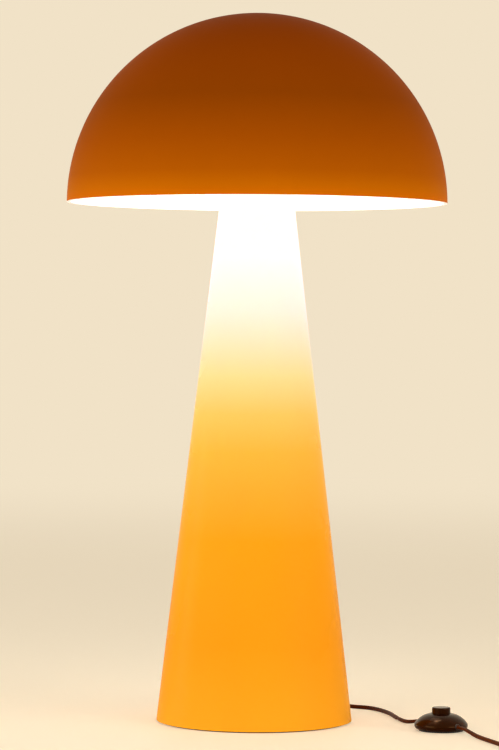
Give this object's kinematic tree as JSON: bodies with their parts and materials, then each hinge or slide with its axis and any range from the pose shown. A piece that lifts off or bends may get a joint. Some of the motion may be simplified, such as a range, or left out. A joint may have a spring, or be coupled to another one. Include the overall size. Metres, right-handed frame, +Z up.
{
  "type": "mushroom floor lamp",
  "caption": "Low floor lamp with a half-round metal shade on a straight conical stem, with a foot switch on its cord and a two-pin plug.",
  "frame": {"origin": "on the floor under the lamp's axis, at the underside of the base pad", "axes": "+Z up along the lamp's axis; +Y away from the camera; +X to the right, towards the foot switch"},
  "size_m": [0.6049, 0.502, 0.8372],
  "materials": {
    "stem_lacquer": "gloss",
    "shade_lacquer": "gloss",
    "zinc_steel": "zinc plated",
    "ballast_steel": "black oxide",
    "foam": "matt",
    "cord_jacket": "satin",
    "switch_plastic": "gloss",
    "holder_plastic": "satin",
    "brass": "satin",
    "nickel": "polished",
    "spring_steel": "drawn wire",
    "ceramic": "glazed",
    "cast_alloy": "turned",
    "opal_plastic": "opal satin",
    "bulb_plastic": "satin",
    "circuit_board": "matt",
    "black_glass": "gloss",
    "wire_cover": "satin",
    "bush_rubber": "matt"
  },
  "bodies": {
    "stand": {"stem_cone": "stem_lacquer", "base_brackets": "zinc_steel", "base_screws": "zinc_steel", "bracket_weld_nuts": "zinc_steel", "base_pad": "foam", "base_plate": "ballast_steel", "cord_clamp": "holder_plastic", "cord_clamp_screws": "zinc_steel", "cord_bush": "bush_rubber", "stem_cap": "zinc_steel", "threaded_nipple": "zinc_steel", "nipple_nuts": "zinc_steel", "carrier_foot_plate": "zinc_steel", "carrier_legs": "zinc_steel", "carrier_spider": "zinc_steel", "carrier_leg_nuts": "zinc_steel", "carrier_spigot": "cast_alloy", "holder_cap": "holder_plastic", "holder_skirt": "holder_plastic", "holder_insert": "ceramic", "holder_terminal_screws": "brass", "holder_screw_shell": "brass", "holder_centre_contact": "brass", "switch_pad": "foam", "switch_base": "switch_plastic", "switch_cover": "switch_plastic", "switch_screws": "zinc_steel", "switch_contact_strips": "brass", "switch_terminals": "brass", "switch_terminal_screws": "zinc_steel", "switch_spring_washer": "circuit_board", "switch_bushes": "bush_rubber", "switch_cord_ends": "cord_jacket", "switch_spring": "spring_steel", "switch_wires": "wire_cover", "cord_in_stem": "cord_jacket", "holder_wires": "wire_cover", "cord_lamp_to_switch": "cord_jacket", "cord_switch_to_coil": "cord_jacket", "cord_coil": "cord_jacket", "plug_body": "switch_plastic", "plug_pins": "nickel", "plug_pin_sleeves": "switch_plastic"},
    "shade": {"shade_dome": "shade_lacquer", "shade_hub": "cast_alloy", "shade_studs": "zinc_steel", "shade_stud_nuts": "zinc_steel"},
    "bulb_foot": {"bulb_contact": "nickel", "bulb_insulator": "black_glass"},
    "bulb": {"bulb_cap": "nickel", "bulb_housing": "bulb_plastic", "bulb_globe": "opal_plastic", "bulb_led_board": "circuit_board", "bulb_driver_board": "circuit_board"},
    "button": {"switch_button": "switch_plastic", "switch_bridge": "brass"}
  },
  "joints": [
    {"name": "shade_lift", "type": "slide", "parent": "stand", "child": "shade", "axis": [0, 0, 1], "range_m": [0, 0.24]},
    {"name": "bulb_rise", "type": "slide", "parent": "stand", "child": "bulb_foot", "axis": [0, 0, 1], "range_m": [0, 0.01091]},
    {"name": "bulb_turn", "type": "hinge", "parent": "bulb_foot", "child": "bulb", "pos_m": [0, 0, 0.7], "axis": [0, 0, 1], "range_deg": [0, 1080]},
    {"name": "foot_press", "type": "slide", "parent": "stand", "child": "button", "axis": [0, 0, -1], "range_m": [0, 0.003], "stiffness_N_per_m": 900, "springref_m": -0.008, "deforming": ["switch_spring"]}
  ],
  "couplings": [
    {"joint": "bulb_rise", "follows": "bulb_turn", "m_per_rad": 0.00057757}
  ]
}
